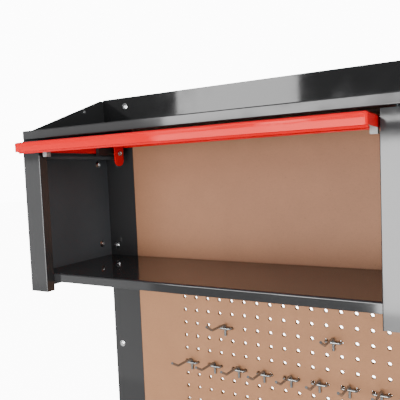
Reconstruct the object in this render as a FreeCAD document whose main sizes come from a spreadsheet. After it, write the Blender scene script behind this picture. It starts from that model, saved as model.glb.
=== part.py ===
import FreeCAD, Part
import math
import os
import re
import Sketcher

# Sheet-metal workbench with an overhead cabinet: a worktop with two drawers below it,
# a pegboard behind it, and a two-bay cabinet with up-and-over doors and a top tray.
# X runs to the right, Y to the back, Z up. The origin is on the floor, under the
# centre of the bench. The left door stands open and pushed in, the right one is shut.

SIZES = [
    # whole bench
    ("width", 1220),
    ("depth", 610),
    ("worktop_top", 880),
    ("worktop_thick", 25),
    ("frame_sheet", 1.5),
    ("panel_sheet", 1.2),
    ("slip", 0.3),
    # rear uprights, boards and the rails behind them
    ("upright_wide", 70),
    ("upright_deep", 40),
    ("board_thick", 6.35),
    ("board_low", 8),
    ("peg_pitch", 25.4),
    ("peg_hole", 6.35),
    ("peg_columns", 35),
    ("peg_rows", 22),
    ("peg_top_margin", 23.3),
    ("back_rail_tall", 40),
    ("back_rail_deep", 30),
    # overhead cabinet
    ("peg_zone_tall", 544),
    ("cabinet_deep", 212),
    ("cabinet_tall", 262),
    ("post_wide", 37),
    ("post_return", 15),
    ("return_notch", 28.5),
    ("post_gap", 2.7),
    ("shelf_rise", 30),
    ("shelf_lip", 15),
    # top tray and its gallery
    ("tray_lip", 15),
    ("gallery_tall", 84.2),
    ("gallery_back_tall", 86.8),
    ("gallery_nose", 12.8),
    ("gallery_flat", 9.8),
    ("upright_short", 2),
    # doors
    ("door_wide", 549),
    ("door_offset", 9.25),
    ("door_deep", 15),
    ("door_hem", 4),
    ("grip_return", 10),
    ("grip_lip", 5),
    ("pin_to_skin", 14.8),
    ("pin_to_grip", 235),
    ("pin_to_hem", 17),
    ("pin_drop", 23.7),
    ("pin_home", 30),
    ("pin_wide", 6),
    ("pin_play", 0.05),
    ("bolt_head_wide", 11),
    ("bolt_head_thick", 4.5),
    ("pin_nut_wide", 10),
    ("pin_nut_long", 7),
    ("ear_inset", 17.6),
    ("ear_thick", 2.5),
    ("ear_wide", 25),
    ("ear_reach", 25.3),
    ("block_start", 6),
    ("block_long", 40),
    ("block_thick", 7),
    ("block_reach", 4.3),
    ("pad_start", 168.5),
    ("pad_long", 9),
    ("pad_thick", 9),
    ("pad_reach", 7.3),
    ("pad_root", 5.7),
    # door rails and the shoes that run in them
    ("rail_gap", 9.4),
    ("rail_wide", 10),
    ("rail_tall", 22),
    ("rail_lip", 6),
    ("shoe_long", 22),
    # hooks
    ("hook_wire", 4.6),
    ("staple_bend", 3),
    ("arm_bend", 7),
    ("hook_rise", 12),
    ("hook_tab", 15),
    ("arm_rise", 6.6),
    ("arm_flat", 49),
    ("arm_lift", 3),
    ("arm_reach", 68.5),
    ("arm_tip_rise", 11.5),
    ("upper_hook_row", 5),
    ("upper_hook_first", 3),
    ("upper_hook_step", 8),
    ("lower_hook_row", 8),
    ("lower_hook_first", 0),
    ("lower_hook_step", 2),
    # screws
    ("screw_wide", 6),
    ("screw_play", 0.2),
    ("screw_flange_wide", 13),
    ("screw_flange_thick", 1.2),
    ("screw_head_wide", 10),
    ("screw_head_tall", 2.6),
    ("screw_long", 8),
    ("screw_nut_wide", 10),
    ("screw_nut_thick", 4.5),
    ("side_screw_in", 28),
    ("side_screw_low", 26),
    ("side_screw_high", 43.4),
    ("upright_screw_in", 18),
    ("upright_screw_up", 20),
    ("upright_screw_down", 190),
    ("gallery_screw_in", 57),
    ("gallery_screw_down", 17.8),
    ("anchor_hole", 8),
    ("anchor_down", 28),
    # legs and feet
    ("overhang", 5),
    ("leg_wide", 50),
    ("leg_sheet", 2),
    ("leg_return", 15),
    ("foot_wide", 40),
    ("foot_thick", 6),
    ("foot_neck_wide", 18),
    ("foot_tall", 11),
    ("stud_wide", 10),
    ("stud_long", 16),
    ("foot_plate_thick", 4),
    ("foot_nut_wide", 17),
    ("foot_nut_thick", 6),
    ("rear_foot_in", 20),
    # frame under the worktop
    ("beam_tall", 30),
    ("side_rail_tall", 75),
    ("lower_shelf_top", 180),
    ("lower_shelf_lip", 30),
    # drawers
    ("drawer_bay_tall", 152),
    ("front_gap", 2.5),
    ("front_middle_gap", 3),
    ("front_low_gap", 3),
    ("finger_gap", 19),
    ("box_sheet", 1.2),
    ("box_long", 500),
    ("box_low_gap", 9),
    ("box_high_gap", 25),
    ("runner_space", 12.7),
    ("runner_tall", 35),
    ("runner_rise", 55),
    ("runner_flange", 9),
    ("runner_play", 0.6),
]

NAMES = {name for name, value in SIZES}

doc = FreeCAD.newDocument("workbench")
sheet = doc.addObject("Spreadsheet::Sheet", "sizes")
for row, (name, value) in enumerate(SIZES, start=1):
    sheet.set("A%d" % row, name)
    sheet.set("B%d" % row, str(value))
    sheet.setAlias("B%d" % row, name)
doc.recompute()

# Places that several pieces share, as formulas of the sizes above.
HALF = "(width/2)"
FACE = "(depth/2 - upright_deep)"
FRONT = f"({FACE} - cabinet_deep)"
CABINET_LOW = "(worktop_top + peg_zone_tall)"
SHELF_TOP = f"({CABINET_LOW} + shelf_rise)"
TRAY_LOW = f"({CABINET_LOW} + cabinet_tall)"
TRAY_TOP = f"({TRAY_LOW} + panel_sheet)"
GALLERY_BACK_TOP = f"({TRAY_TOP} + gallery_back_tall)"
UPRIGHT_TOP = f"({GALLERY_BACK_TOP} - upright_short)"
BOARD_TOP = f"({SHELF_TOP} - panel_sheet - slip)"
TOP_ROW = f"({BOARD_TOP} - peg_top_margin)"
INSIDE = f"({HALF} - panel_sheet)"
SHELF_FRONT = f"({FRONT} + post_return + slip)"
PIN_Z = f"({TRAY_LOW} - pin_drop)"
PIN_Y_OPEN = f"({FACE} - pin_home)"
PIN_Y_SHUT = f"({FRONT} + pin_to_skin)"
DOOR_X = "(width/4 - door_offset)"
DOOR_HALF = "(door_wide/2)"
UNDER_TOP = "(worktop_top - worktop_thick)"
LEG_FRONT = "(overhang - depth/2)"
LEG_LOW = "(foot_tall + foot_plate_thick)"
LEG_IN = f"({HALF} - leg_wide)"
BAY_LOW = f"({UNDER_TOP} - drawer_bay_tall)"
BAY_FRONT = f"({LEG_FRONT} + leg_return)"
RUNNER_Z = f"({BAY_LOW} + runner_rise)"
SCREW_HOLE = "(screw_wide + screw_play)"

SIDES = (("left", "-"), ("right", ""))

parts = {}


def size(formula):
    """The formula with each size name turned into a reference to its cell."""
    def cell(match):
        word = match.group()
        return "sizes." + word if word in NAMES else word
    return re.sub(r"[A-Za-z_]\w*", cell, formula)


def number(formula):
    """What a formula of the sizes comes to, in millimetres."""
    return float(sheet.evalExpression(size(formula)))


def keep(label, piece):
    """Name a finished sub-part, which gives its file its name."""
    piece.Label = label
    parts[label] = piece
    return piece


def put(piece, x, y, z):
    """Tie the place of a piece to three formulas."""
    piece.setExpression("Placement.Base.x", size(x))
    piece.setExpression("Placement.Base.y", size(y))
    piece.setExpression("Placement.Base.z", size(z))
    return piece


def box(name, x, y, z):
    """A block from its low and high formulas along X, Y and Z."""
    piece = doc.addObject("Part::Box", name)
    for side, (low, high) in zip(("Length", "Width", "Height"), (x, y, z)):
        piece.setExpression(side, size(f"({high}) - ({low})"))
    return put(piece, x[0], y[0], z[0])


TURNS = {
    "+x": FreeCAD.Rotation(FreeCAD.Vector(0, 1, 0), 90),
    "-x": FreeCAD.Rotation(FreeCAD.Vector(0, 1, 0), -90),
    "+y": FreeCAD.Rotation(FreeCAD.Vector(1, 0, 0), -90),
    "-y": FreeCAD.Rotation(FreeCAD.Vector(1, 0, 0), 90),
    "+z": FreeCAD.Rotation(),
}


def rod(name, start, way, across, long):
    """A round bar from its start point, along one of the TURNS."""
    piece = doc.addObject("Part::Cylinder", name)
    piece.setExpression("Radius", size(f"({across})/2"))
    piece.setExpression("Height", size(long))
    piece.Placement = FreeCAD.Placement(FreeCAD.Vector(), TURNS[way])
    return put(piece, *start)


def fuse(name, pieces):
    """Pieces joined into one solid, as bends and welds join them."""
    piece = doc.addObject("Part::MultiFuse", name)
    piece.Shapes = pieces
    piece.Refine = True
    return piece


def cut(name, base, tool):
    """A piece with another one's space taken out of it."""
    piece = doc.addObject("Part::Cut", name)
    piece.Base = base
    piece.Tool = tool
    return piece


def group(name, pieces):
    """Identical pieces that stay separate solids in one sub-part."""
    piece = doc.addObject("Part::Compound", name)
    piece.Links = pieces
    return piece


def outline(sketch, points):
    """A closed outline whose corners are tied to formulas, each zero or positive."""
    spots = [FreeCAD.Vector(number(x), number(y), 0) for x, y in points]
    count = len(spots)
    for index in range(count):
        line = Part.LineSegment(spots[index], spots[(index + 1) % count])
        sketch.addGeometry(line, False)
    for index in range(count):
        ends = (index, 2, (index + 1) % count, 1)
        sketch.addConstraint(Sketcher.Constraint("Coincident", *ends))
    for index, (point, spot) in enumerate(zip(points, spots)):
        ways = (("DistanceX", point[0], spot.x, -2), ("DistanceY", point[1], spot.y, -1))
        for kind, formula, value, axis in ways:
            if formula == "0":
                sketch.addConstraint(Sketcher.Constraint("PointOnObject", index, 1, axis))
                continue
            tie = sketch.addConstraint(Sketcher.Constraint(kind, -1, 1, index, 1, value))
            sketch.setExpression("Constraints[%d]" % tie, size(formula))


def section(label, role, points, long, place):
    """A folded sheet or bar: one outline on an origin plane, padded to its length."""
    body = doc.addObject("PartDesign::Body", label)
    sketch = body.newObject("Sketcher::SketchObject", label + "_outline")
    plane = next(item for item in body.Origin.OriginFeatures if item.Role == role)
    sketch.AttachmentSupport = [(plane, "")]
    sketch.MapMode = "FlatFace"
    outline(sketch, points)
    pad = body.newObject("PartDesign::Pad", label + "_pad")
    pad.Profile = sketch
    pad.setExpression("Length", size(long))
    put(body, *place)
    return body


def channel(wide, deep, sheet_thick):
    """Outline of a channel: a web along the first axis and a flange at each end."""
    inner = f"{wide} - {sheet_thick}"
    return [
        ("0", "0"), (wide, "0"), (wide, deep), (inner, deep),
        (inner, sheet_thick), (sheet_thick, sheet_thick), (sheet_thick, deep), ("0", deep),
    ]


def flipped(points, wide):
    """The same outline, seen in a mirror across its width."""
    return [(wide if x == "0" else ("0" if x == wide else f"{wide} - ({x})"), y)
            for x, y in points]


# The rear uprights run from the feet to the top of the gallery, open to the back.
def screw_holes(name, sign):
    """Holes for the shanks that pass through an upright's web."""
    start = f"{FACE} - screw_long"
    long = "2*screw_long"
    in_x = f"{sign}({HALF} - upright_screw_in)"
    heights = (f"{SHELF_TOP} + upright_screw_up", f"{SHELF_TOP} - upright_screw_down")
    holes = [rod(f"{name}_web_hole", (in_x, start, z), "+y", SCREW_HOLE, long) for z in heights]
    gallery_x = f"{sign}({HALF} - gallery_screw_in)"
    gallery_z = f"{GALLERY_BACK_TOP} - gallery_screw_down"
    holes.append(rod(f"{name}_gallery_hole", (gallery_x, start, gallery_z), "+y", SCREW_HOLE,
                      long))
    anchor_x = f"{sign}({HALF} - upright_wide/2)"
    anchor_z = f"{TRAY_TOP} + anchor_down"
    holes.append(rod(f"{name}_anchor_hole", (anchor_x, start, anchor_z), "+y", "anchor_hole", long))
    return fuse(name + "_holes", holes)


def upright(side, sign):
    outside = f"-{HALF}" if sign else f"{HALF} - upright_wide"
    tall = f"{UPRIGHT_TOP} - {LEG_LOW}"
    steel = section(side + "_upright_section", "XY_Plane",
                    channel("upright_wide", "upright_deep", "frame_sheet"),
                    tall, (outside, FACE, LEG_LOW))
    keep(side + "_upright", cut(side + "_upright", steel, screw_holes(side + "_upright", sign)))


for side, sign in SIDES:
    upright(side, sign)


# Three channels behind the boards tie the uprights together.
def back_rail(label, middle):
    long = "width - 2*upright_wide"
    place = (f"upright_wide - {HALF}", f"{FACE} + board_thick", f"{middle} - back_rail_tall/2")
    deep = "back_rail_deep"
    tall = "back_rail_tall"
    inner = "back_rail_tall - frame_sheet"
    points = [
        ("0", "0"), ("frame_sheet", "0"), (deep, "0"), (deep, "frame_sheet"),
        ("frame_sheet", "frame_sheet"), ("frame_sheet", inner), (deep, inner),
        (deep, tall), ("0", tall),
    ]
    keep(label, section(label, "YZ_Plane", points, long, place))


back_rail("worktop_back_rail", "(worktop_top)")
back_rail("shelf_back_rail", SHELF_TOP)
back_rail("top_back_rail", f"({TRAY_LOW} - back_rail_tall/2)")


# The pegboard and the plain board behind the cabinet are hardboard, between the uprights.
def board_x():
    half = f"({HALF} - upright_wide - slip)"
    return f"-{half}", half


def pegboard():
    low_x, high_x = [number(formula) for formula in board_x()]
    low_z = number("worktop_top - board_low")
    high_z = number(BOARD_TOP)
    pitch = number("peg_pitch")
    columns = int(number("peg_columns"))
    rows = int(number("peg_rows"))
    first_x = -pitch * (columns - 1) / 2
    top_row = number(TOP_ROW)
    radius = number("peg_hole/2")
    corners = [(low_x, low_z), (high_x, low_z), (high_x, high_z), (low_x, high_z)]
    rim = Part.makePolygon([FreeCAD.Vector(x, 0, z) for x, z in corners + corners[:1]])
    holes = []
    for column in range(columns):
        for row in range(rows):
            centre = FreeCAD.Vector(first_x + column * pitch, 0, top_row - row * pitch)
            holes.append(Part.Wire(Part.Circle(centre, FreeCAD.Vector(0, 1, 0), radius).toShape()))
    face = Part.makeFace([rim] + holes, "Part::FaceMakerBullseye")
    piece = doc.addObject("Part::Feature", "pegboard")
    piece.Shape = face.extrude(FreeCAD.Vector(0, number("board_thick"), 0))
    put(piece, "0", FACE, "0")
    keep("pegboard", piece)


pegboard()
keep("cabinet_back", box("cabinet_back", board_x(), (FACE, f"{FACE} + board_thick"),
                         (f"{SHELF_TOP} - slip", f"{TRAY_LOW} - slip")))


# Wire hooks hang in two neighbouring holes: a staple through the board and an arm in front.
def rounded_path(points, bend):
    """A wire through the points, each corner rounded to the bend radius."""
    edges = []
    last = points[0]
    for before, corner, after in zip(points, points[1:], points[2:]):
        come = (corner - before).normalize()
        leave = (after - corner).normalize()
        half_turn = come.getAngle(leave) / 2
        back = bend * math.tan(half_turn)
        inward = (leave - come).normalize()
        middle = corner + inward * (bend / math.cos(half_turn) - bend)
        edges.append(Part.LineSegment(last, corner - come * back).toShape())
        edges.append(Part.Arc(corner - come * back, middle, corner + leave * back).toShape())
        last = corner + leave * back
    edges.append(Part.LineSegment(last, points[-1]).toShape())
    return Part.Wire(edges)


def wire_solid(path, across):
    """Round wire of one thickness along a path."""
    start = path.Edges[0]
    centre = start.valueAt(start.FirstParameter)
    heading = start.tangentAt(start.FirstParameter)
    ring = Part.Wire(Part.Circle(centre, heading, across / 2).toShape())
    return path.makePipeShell([ring], True, False)


def hook():
    """One hook: the staple's middle is at the origin, on the board's face."""
    pitch = number("peg_pitch")
    across = number("hook_wire")
    near = -across / 2 - number("slip")
    bar = near - across + number("slip")
    behind = number("board_thick") + across / 2 + number("slip")
    rise = number("hook_rise")
    staple = [
        FreeCAD.Vector(-pitch / 2, behind, rise),
        FreeCAD.Vector(-pitch / 2, behind, 0),
        FreeCAD.Vector(-pitch / 2, bar, 0),
        FreeCAD.Vector(pitch / 2, bar, 0),
        FreeCAD.Vector(pitch / 2, behind, 0),
        FreeCAD.Vector(pitch / 2, behind, rise),
    ]
    start = number("arm_rise")
    lifted = start + number("arm_lift")
    arm = [
        FreeCAD.Vector(0, near, -number("hook_tab")),
        FreeCAD.Vector(0, near, start),
        FreeCAD.Vector(0, near - number("arm_flat"), lifted),
        FreeCAD.Vector(0, near - number("arm_reach"), lifted + number("arm_tip_rise")),
    ]
    back = wire_solid(rounded_path(staple, number("staple_bend")), across)
    return back.fuse(wire_solid(rounded_path(arm, number("arm_bend")), across))


def hooks(label, kind):
    """Hooks in one row of holes, each in a column and the next one to its right."""
    row = int(number(kind + "_hook_row"))
    columns = range(int(number(kind + "_hook_first")), int(number("peg_columns - 1")),
                    int(number(kind + "_hook_step")))
    pitch = number("peg_pitch")
    first_x = -pitch * (number("peg_columns") - 1) / 2
    height = number(TOP_ROW) - (row - 1) * pitch
    pattern = hook()
    solids = []
    for column in columns:
        single = pattern.copy()
        single.translate(FreeCAD.Vector(first_x + (column + 0.5) * pitch, 0, height))
        solids.append(single)
    piece = doc.addObject("Part::Feature", label)
    piece.Shape = Part.makeCompound(solids)
    put(piece, "0", FACE, "0")
    keep(label, piece)


hooks("upper_hooks", "upper")
hooks("lower_hooks", "lower")


# The cabinet's side panels stand between the front posts and the uprights.
def side_screw_holes(name, outside):
    in_y = f"{FACE} - side_screw_in"
    heights = (f"{SHELF_TOP} + side_screw_low", f"{TRAY_LOW} - side_screw_high")
    start = f"{outside} - screw_long"
    holes = [rod(name + "_hole", (start, in_y, z), "+x", SCREW_HOLE, "2*screw_long")
             for z in heights]
    return fuse(name + "_holes", holes)


def sheet_x(sign, thick="panel_sheet"):
    """The thickness of a sheet whose outer face is the bench's left or right side."""
    return (f"-{HALF}", f"{thick} - {HALF}") if sign else (f"{HALF} - {thick}", HALF)


def cabinet_side(side, sign):
    label = side + "_side_panel"
    front = f"{FRONT} + panel_sheet"
    plain = box(label + "_plain", sheet_x(sign), (front, FACE), (CABINET_LOW, TRAY_LOW))
    keep(label, cut(label, plain, side_screw_holes(label, f"{sign}{HALF}")))


for side, sign in SIDES:
    cabinet_side(side, sign)


# The front posts are folded sheet. Their returns stop short of the door rails.
def post(label, left, edges):
    """A post from its left edge. Edges says on which sides it has a return."""
    tall = "cabinet_tall - post_gap"
    right = f"({left} + post_wide)"
    deep = (FRONT, f"{FRONT} + post_return")
    low = (CABINET_LOW, f"{CABINET_LOW} + cabinet_tall - return_notch")
    plate = box(label + "_plate", (left, right), (FRONT, f"{FRONT} + panel_sheet"),
                (CABINET_LOW, f"{CABINET_LOW} + {tall}"))
    folds = {
        "left": (left, f"{left} + panel_sheet"),
        "right": (f"{right} - panel_sheet", right),
    }
    returns = [box(f"{label}_{edge}_return", folds[edge], deep, low) for edge in edges]
    keep(label, fuse(label, [plate] + returns))


post("left_front_post", f"(-{HALF})", ["right"])
post("middle_front_post", "(-post_wide/2)", ["left", "right"])
post("right_front_post", f"({HALF} - post_wide)", ["left"])


# The shelf is the cabinet's floor: a sheet with a lip folded down at the front and back.
def cabinet_shelf():
    across = (f"-{INSIDE}", INSIDE)
    low = f"{SHELF_TOP} - shelf_lip"
    sheet_low = f"{SHELF_TOP} - panel_sheet"
    top = box("shelf_top", across, (SHELF_FRONT, FACE), (sheet_low, SHELF_TOP))
    front = box("shelf_front_lip", across, (SHELF_FRONT, f"{SHELF_FRONT} + panel_sheet"),
                (low, SHELF_TOP))
    back = box("shelf_back_lip", across, (f"{FACE} - panel_sheet", FACE), (low, SHELF_TOP))
    keep("cabinet_shelf", fuse("cabinet_shelf", [top, front, back]))


cabinet_shelf()
keep("middle_partition", box("middle_partition", ("-panel_sheet/2", "panel_sheet/2"),
                             (f"{FRONT} + panel_sheet", FACE), (SHELF_TOP, TRAY_LOW)))


# The tray on top has a lip in front and a gallery of three plates round the rest.
def top_tray():
    floor = box("tray_floor", (f"-{HALF}", HALF), (FRONT, FACE), (TRAY_LOW, TRAY_TOP))
    lip = box("tray_lip_sheet", (f"-{HALF}", HALF), (FRONT, f"{FRONT} + panel_sheet"),
              (TRAY_LOW, f"{TRAY_LOW} + tray_lip"))
    keep("top_tray", fuse("top_tray", [floor, lip]))


def gallery_side(side, sign):
    long = "cabinet_deep - 2*panel_sheet"
    nose = "tray_lip - panel_sheet"
    points = [
        ("0", "0"), (long, "0"), (long, "gallery_tall"),
        (f"{long} - gallery_flat", "gallery_tall"), ("gallery_nose", nose), ("0", nose),
    ]
    place = (sheet_x(sign)[0], f"{FRONT} + panel_sheet", TRAY_TOP)
    label = side + "_gallery_side"
    keep(label, section(label, "YZ_Plane", points, "panel_sheet", place))


def gallery_back():
    plain = box("gallery_back_plain", (f"-{HALF}", HALF), (f"{FACE} - panel_sheet", FACE),
                (TRAY_TOP, GALLERY_BACK_TOP))
    height = f"{GALLERY_BACK_TOP} - gallery_screw_down"
    holes = []
    for side, sign in SIDES:
        start = (f"{sign}({HALF} - gallery_screw_in)", f"{FACE} - screw_long", height)
        holes.append(rod(side + "_gallery_back_hole", start, "+y", SCREW_HOLE,
                         "2*screw_long"))
        anchor = (f"{sign}({HALF} - upright_wide/2)", f"{FACE} - screw_long",
                  f"{TRAY_TOP} + anchor_down")
        holes.append(rod(side + "_gallery_anchor", anchor, "+y", "anchor_hole", "2*screw_long"))
    keep("gallery_back", cut("gallery_back", plain, fuse("gallery_back_holes", holes)))


top_tray()
for side, sign in SIDES:
    gallery_side(side, sign)
gallery_back()


# Each bay has two slotted rails. A shoe runs in each, and a bolt joins it to the door's ear.
def along(sign, near, far):
    """A stretch along X from the door's middle, mirrored to its left where sign is '-'."""
    return (f"-({far})", f"-({near})") if sign else (near, far)


def shifted(centre, stretch):
    return f"{centre} + {stretch[0]}", f"{centre} + {stretch[1]}"


def rail(name, centre, sign):
    near = f"({DOOR_HALF} + rail_gap)"
    far = f"({near} + rail_wide)"
    low = f"({PIN_Z} - rail_tall/2)"
    high = f"({PIN_Z} + rail_tall/2)"
    y = (f"{FRONT} + panel_sheet", FACE)
    web = shifted(centre, along(sign, f"{far} - panel_sheet", far))
    across = shifted(centre, along(sign, near, far))
    lip = shifted(centre, along(sign, near, f"{near} + panel_sheet"))
    return fuse(name, [
        box(name + "_web", web, y, (low, high)),
        box(name + "_floor", across, y, (low, f"{low} + panel_sheet")),
        box(name + "_roof", across, y, (f"{high} - panel_sheet", high)),
        box(name + "_low_lip", lip, y, (low, f"{low} + rail_lip")),
        box(name + "_high_lip", lip, y, (f"{high} - rail_lip", high)),
    ])


def shoe(name, centre, sign, pin_y):
    near = f"{DOOR_HALF} + rail_gap + panel_sheet + slip"
    far = f"{DOOR_HALF} + rail_gap + rail_wide - panel_sheet - slip"
    tall = "(rail_tall - 2*panel_sheet - 2*slip)"
    body = box(name + "_block", shifted(centre, along(sign, near, far)),
               (f"{pin_y} - shoe_long/2", f"{pin_y} + shoe_long/2"),
               (f"{PIN_Z} - {tall}/2", f"{PIN_Z} + {tall}/2"))
    start = shifted(centre, along(sign, near, far))[0]
    bore = rod(name + "_bore", (start, pin_y, PIN_Z), "+x", "pin_wide + 2*pin_play", "rail_wide")
    return cut(name, body, bore)


def bolt(name, centre, sign, pin_y):
    """Shank and round head. The shank ends inside the shoe."""
    face = f"({DOOR_HALF} - ear_inset - ear_thick - slip)"
    end = f"({DOOR_HALF} + rail_gap + rail_wide - panel_sheet - 3*slip)"
    way = "-x" if sign else "+x"
    shank = rod(name + "_shank", (f"{centre} + {sign}{face}", pin_y, PIN_Z), way, "pin_wide",
                f"{end} - {face}")
    head = rod(name + "_head", (f"{centre} + {sign}({face} - bolt_head_thick)", pin_y, PIN_Z),
               way, "bolt_head_wide", "bolt_head_thick")
    return fuse(name, [shank, head])


def pin_nut(name, centre, sign, pin_y):
    near = f"({DOOR_HALF} - ear_inset + slip)"
    way = "-x" if sign else "+x"
    start = (f"{centre} + {sign}{near}", pin_y, PIN_Z)
    barrel = rod(name + "_barrel", start, way, "pin_nut_wide", "pin_nut_long")
    bore = rod(name + "_bore", start, way, "pin_wide + 2*pin_play", "pin_nut_long")
    return cut(name, barrel, bore)


def carriage(door, centre, pin_y):
    for label, maker in (("shoes", shoe), ("pivot_bolts", bolt), ("pivot_nuts", pin_nut)):
        name = f"{door}_door_{label}"
        pair = [maker(f"{name}_{side}", centre, sign, pin_y) for side, sign in SIDES]
        keep(name, group(name, pair))


# A door is drawn hanging, with its pivot line at the origin and its skin towards -Y.
def door_panel(name):
    skin_y = "-pin_to_skin"
    rim_y = f"({skin_y} + door_deep)"
    low = "-pin_to_grip"
    high = "pin_to_hem"
    across = (f"-{DOOR_HALF}", DOOR_HALF)
    grip_top = f"({low} + grip_return)"
    sheets = [
        box(name + "_skin", across, (skin_y, f"{skin_y} + panel_sheet"), (low, high)),
        box(name + "_hem", across, (skin_y, f"{skin_y} + door_hem"),
            (f"{high} - panel_sheet", high)),
        box(name + "_edge", across, (skin_y, rim_y), (low, f"{low} + panel_sheet")),
        box(name + "_return", across, (f"{rim_y} - panel_sheet", rim_y), (low, grip_top)),
        box(name + "_grip", across, (f"{rim_y} - panel_sheet", f"{rim_y} + grip_lip"),
            (f"{grip_top} - panel_sheet", grip_top)),
    ]
    for side, sign in SIDES:
        x = along(sign, f"{DOOR_HALF} - panel_sheet", DOOR_HALF)
        sheets.append(box(f"{name}_{side}_flange", x, (skin_y, rim_y), (low, "-block_start")))
    return fuse(name, sheets)


def ear(name, sign):
    x = along(sign, f"{DOOR_HALF} - ear_inset - ear_thick", f"{DOOR_HALF} - ear_inset")
    reach = "(ear_reach - ear_wide/2)"
    plate = box(name + "_plate", x, ("panel_sheet - pin_to_skin", reach),
                ("-ear_wide/2", "ear_wide/2"))
    end = rod(name + "_end", (x[0], reach, "0"), "+x", "ear_wide", "ear_thick")
    bore = rod(name + "_bore", (x[0], "0", "0"), "+x", "pin_wide + 2*pin_play", "ear_thick")
    return cut(name, fuse(name + "_blank", [plate, end]), bore)


def corner_block(name, sign):
    x = along(sign, f"{DOOR_HALF} - panel_sheet - block_thick", f"{DOOR_HALF} - panel_sheet")
    return box(name, x, ("panel_sheet - pin_to_skin", "block_reach"),
               ("-block_start - block_long", "-block_start"))


def pad(name, sign):
    x = along(sign, f"{DOOR_HALF} - panel_sheet - pad_thick", f"{DOOR_HALF} - panel_sheet")
    return box(name, x, ("-pad_root", "pad_reach"), ("-pad_start - pad_long", "-pad_start"))


def door(name, centre, pin_y, lift):
    """A door and what is fixed on it, turned up from hanging by an angle in degrees."""
    pieces = {name + "_door": door_panel(name + "_door")}
    for label, maker in (("ears", ear), ("corner_blocks", corner_block), ("pads", pad)):
        full = f"{name}_door_{label}"
        pair = [maker(f"{full}_{side}", sign) for side, sign in SIDES]
        pieces[full] = group(full, pair)
    turn = FreeCAD.Rotation(FreeCAD.Vector(1, 0, 0), -lift)
    for label, piece in pieces.items():
        piece.Placement = FreeCAD.Placement(FreeCAD.Vector(), turn)
        put(piece, centre, pin_y, PIN_Z)
        keep(label, piece)


rails = []
for side, sign in SIDES:
    centre = f"{sign}{DOOR_X}"
    rails += [rail(f"{side}_bay_{end}_rail", centre, way) for end, way in SIDES]
keep("door_rails", group("door_rails", rails))
door("left", f"-{DOOR_X}", PIN_Y_OPEN, 90)
carriage("left", f"-{DOOR_X}", PIN_Y_OPEN)
door("right", DOOR_X, PIN_Y_SHUT, 0)
carriage("right", DOOR_X, PIN_Y_SHUT)


# Round-head screws with a flange go through the sheets they hold, with a nut behind.
def screw(name, seat, way, sheets):
    """A screw whose flange sits on the seat point and whose shank goes along way."""
    back = {"+x": "-x", "-x": "+x", "+y": "-y"}[way]
    shank = rod(name + "_shank", seat, way, "screw_wide", "screw_long")
    flange = rod(name + "_flange", seat, back, "screw_flange_wide", "screw_flange_thick")
    head = rod(name + "_head", seat, back, "screw_head_wide", "screw_head_tall")
    whole = fuse(name, [shank, flange, head])
    place = list(seat)
    axis = "xyz".index(way[1])
    place[axis] = f"{seat[axis]} {way[0]} ({sheets})"
    nut = rod(name + "_nut_blank", place, way, "screw_nut_wide", "screw_nut_thick")
    bore = rod(name + "_nut_bore", place, way, "screw_wide + 2*pin_play", "screw_nut_thick")
    return whole, cut(name + "_nut", nut, bore)


def all_screws():
    pairs = []
    for side, sign in SIDES:
        web_x = f"{sign}({HALF} - upright_screw_in)"
        heights = (f"{SHELF_TOP} + upright_screw_up", f"{SHELF_TOP} - upright_screw_down")
        for z in heights:
            pairs.append(screw(side + "_web_screw", (web_x, FACE, z), "+y", "frame_sheet"))
        seat = (f"{sign}({HALF} - gallery_screw_in)", f"{FACE} - panel_sheet",
                f"{GALLERY_BACK_TOP} - gallery_screw_down")
        pairs.append(screw(side + "_gallery_screw", seat, "+y", "panel_sheet + frame_sheet"))
        inner = f"{sign}{INSIDE}"
        way = "-x" if sign else "+x"
        for z in (f"{SHELF_TOP} + side_screw_low", f"{TRAY_LOW} - side_screw_high"):
            seat = (inner, f"{FACE} - side_screw_in", z)
            pairs.append(screw(side + "_side_screw", seat, way, "panel_sheet"))
    keep("frame_screws", group("frame_screws", [whole for whole, nut in pairs]))
    keep("screw_nuts", group("screw_nuts", [nut for whole, nut in pairs]))


all_screws()


# The worktop lies on the legs, the drawer housing and the front beam.
keep("worktop", box("worktop", (f"-{HALF}", HALF), ("-depth/2", FACE),
                    (UNDER_TOP, "worktop_top")))


def front_leg(side, sign):
    label = side + "_front_leg"
    wide = "leg_wide"
    points = [
        ("0", "0"), (wide, "0"), (wide, "leg_return"), (f"{wide} - leg_sheet", "leg_return"),
        (f"{wide} - leg_sheet", "leg_sheet"), ("leg_sheet", "leg_sheet"),
        ("leg_sheet", wide), ("0", wide),
    ]
    outside = f"-{HALF}"
    if not sign:
        points = flipped(points, wide)
        outside = LEG_IN
    place = (outside, LEG_FRONT, LEG_LOW)
    keep(label, section(label, "XY_Plane", points, f"{UNDER_TOP} - {LEG_LOW}", place))


for side, sign in SIDES:
    front_leg(side, sign)


# Four feet screw up and down in plates under the legs and uprights.
FOOT_PLACES = []
for side, sign in SIDES:
    FOOT_PLACES.append((f"{sign}({HALF} - leg_wide/2)", f"{LEG_FRONT} + leg_wide/2"))
    FOOT_PLACES.append((f"{sign}({HALF} - upright_wide/2)", f"{FACE} + rear_foot_in"))


def foot(name, x, y):
    disc = rod(name + "_disc", (x, y, "0"), "+z", "foot_wide", "foot_thick")
    neck = rod(name + "_neck", (x, y, "0"), "+z", "foot_neck_wide", "foot_tall")
    stud = rod(name + "_stud", (x, y, "0"), "+z", "stud_wide", "foot_tall + stud_long")
    return fuse(name, [disc, neck, stud])


def foot_nut(name, x, y):
    seat = (x, y, LEG_LOW)
    blank = doc.addObject("Part::Prism", name + "_hexagon")
    blank.Polygon = 6
    blank.setExpression("Circumradius", size("foot_nut_wide/2"))
    blank.setExpression("Height", size("foot_nut_thick"))
    put(blank, *seat)
    bore = rod(name + "_bore", seat, "+z", "stud_wide + 2*pin_play", "foot_nut_thick")
    return cut(name, blank, bore)


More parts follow.
